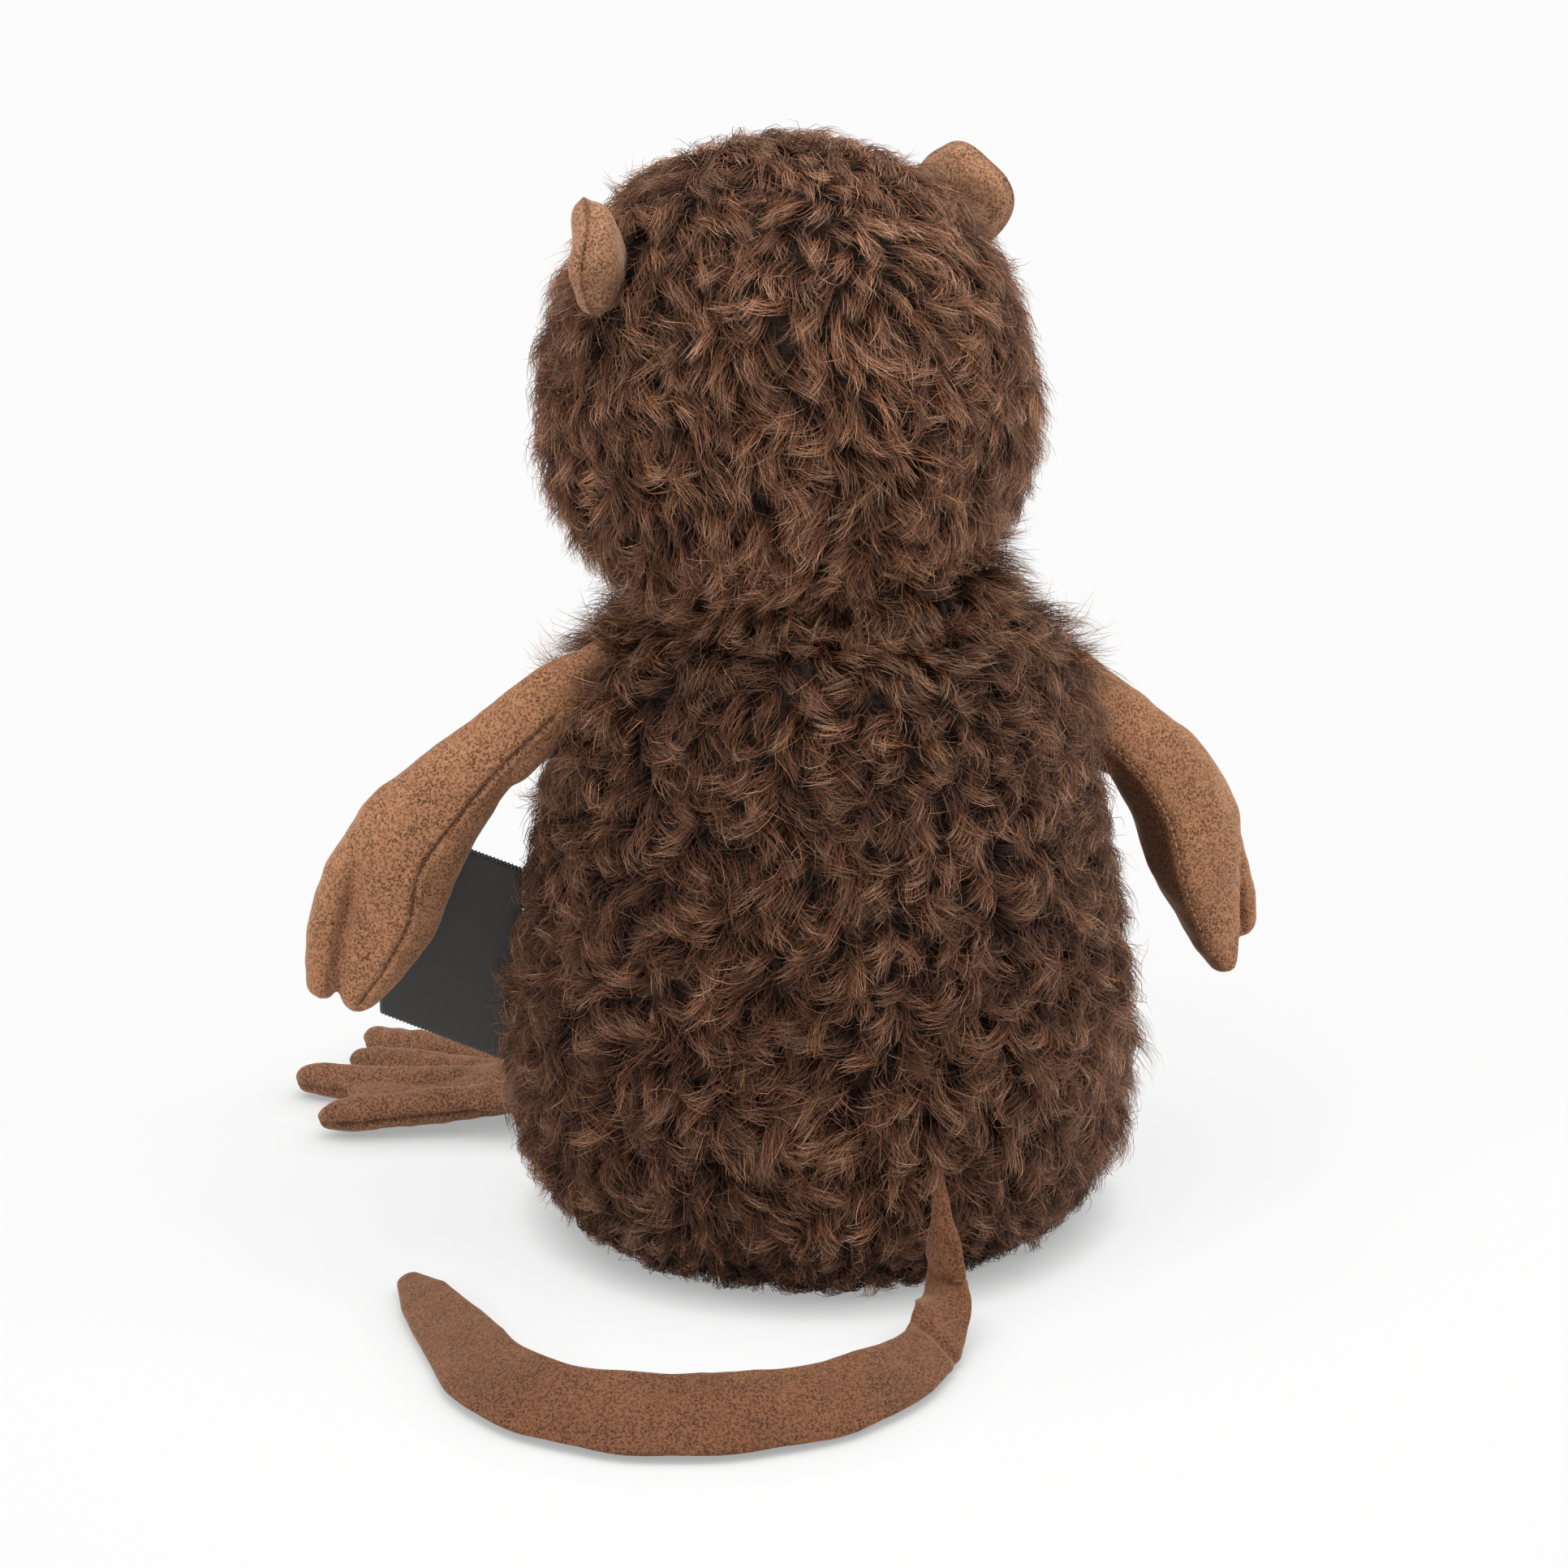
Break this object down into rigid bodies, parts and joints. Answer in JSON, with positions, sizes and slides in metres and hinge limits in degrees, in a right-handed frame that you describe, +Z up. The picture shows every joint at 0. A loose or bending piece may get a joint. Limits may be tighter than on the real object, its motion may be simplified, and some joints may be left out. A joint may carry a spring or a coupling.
{
  "type": "sitting plush animal",
  "caption": "Sitting soft toy of a nutria with a curly plush body and head, suede arms, webbed feet and flat tail; head, ears, limbs, tail and side label move.",
  "frame": {"origin": "middle of the flat base panel, on the floor", "axes": "+Z up, the toy faces -Y, its left side is +X"},
  "size_m": [0.2209, 0.2502, 0.2413],
  "materials": {
    "plush": "long curly pile",
    "suede": "brushed suede cloth with fine flecks",
    "base_cloth": "plain woven",
    "satin": "satin ribbon",
    "felt": "felt",
    "nose_cloth": "short flock",
    "fibre": "loose fibre",
    "pouch_cloth": "plain woven",
    "pellets": "loose pellets",
    "eye_plastic": "polished",
    "washer_plastic": "moulded"
  },
  "bodies": {
    "torso": {"body_skin": "plush", "base_panel": "base_cloth", "body_filling": "fibre", "pellet_pouch": "pouch_cloth", "pellets": "pellets"},
    "neck": {"neck_wad": "fibre"},
    "head": {"head_skin": "plush", "head_filling": "fibre", "muzzle": "suede", "nose": "nose_cloth", "incisors": "felt", "eye_left": "eye_plastic", "eye_right": "eye_plastic", "eye_washer_left": "washer_plastic", "eye_washer_right": "washer_plastic"},
    "ear_left": {"ear_left_back": "suede", "ear_left_front": "suede"},
    "ear_right": {"ear_right_back": "suede", "ear_right_front": "suede"},
    "arm_left": {"arm_left_skin": "suede", "arm_left_filling": "fibre"},
    "arm_right": {"arm_right_skin": "suede", "arm_right_filling": "fibre"},
    "foot_left": {"foot_left_skin": "suede", "foot_left_filling": "fibre"},
    "foot_right": {"foot_right_skin": "suede", "foot_right_filling": "fibre"},
    "tail": {"tail_upper_panel": "suede", "tail_under_panel": "suede"},
    "label": {"label_ribbon": "satin"}
  },
  "joints": [
    {"name": "neck_turn", "type": "hinge", "parent": "torso", "child": "neck", "pos_m": [0, -0.005, 0.146], "axis": [0, 0, 1], "range_deg": [-20, 20], "stiffness_Nm_per_rad": 0.15},
    {"name": "head_nod", "type": "hinge", "parent": "neck", "child": "head", "pos_m": [0, -0.005, 0.146], "axis": [0.9792, 0.1903, -0.0698], "range_deg": [-6, 6], "stiffness_Nm_per_rad": 0.25},
    {"name": "ear_left_fold", "type": "hinge", "parent": "head", "child": "ear_left", "pos_m": [0.04922, -0.00256, 0.21507], "axis": [0.219, 0.6974, -0.6824], "range_deg": [-20, 14], "stiffness_Nm_per_rad": 0.002},
    {"name": "ear_right_fold", "type": "hinge", "parent": "head", "child": "ear_right", "pos_m": [-0.03664, -0.01925, 0.22119], "axis": [0.5542, -0.5471, 0.6273], "range_deg": [-20, 14], "stiffness_Nm_per_rad": 0.002},
    {"name": "arm_left_lift", "type": "hinge", "parent": "torso", "child": "arm_left", "pos_m": [0.05319, 0, 0.12955], "axis": [-0.342, -0.9397, 0], "range_deg": [-8, 70], "stiffness_Nm_per_rad": 0.02},
    {"name": "arm_right_lift", "type": "hinge", "parent": "torso", "child": "arm_right", "pos_m": [-0.05536, 0, 0.12405], "axis": [0.1392, 0.9903, 0], "range_deg": [-8, 70], "stiffness_Nm_per_rad": 0.02},
    {"name": "foot_left_swing", "type": "hinge", "parent": "torso", "child": "foot_left", "pos_m": [0.03091, -0.05761, 0], "axis": [0, 0, 1], "range_deg": [-20, 20], "stiffness_Nm_per_rad": 0.02},
    {"name": "foot_right_swing", "type": "hinge", "parent": "torso", "child": "foot_right", "pos_m": [-0.03091, -0.05761, 0], "axis": [0, 0, 1], "range_deg": [-20, 20], "stiffness_Nm_per_rad": 0.02},
    {"name": "tail_swing", "type": "hinge", "parent": "torso", "child": "tail", "pos_m": [-0.0012, 0.06495, 0.03197], "axis": [0, 0, 1], "range_deg": [-15, 30]},
    {"name": "label_flip", "type": "hinge", "parent": "torso", "child": "label", "pos_m": [0.06441, -0.02227, 0.05752], "axis": [0, 0, 1], "range_deg": [-40, 5], "stiffness_Nm_per_rad": 0.001}
  ]
}
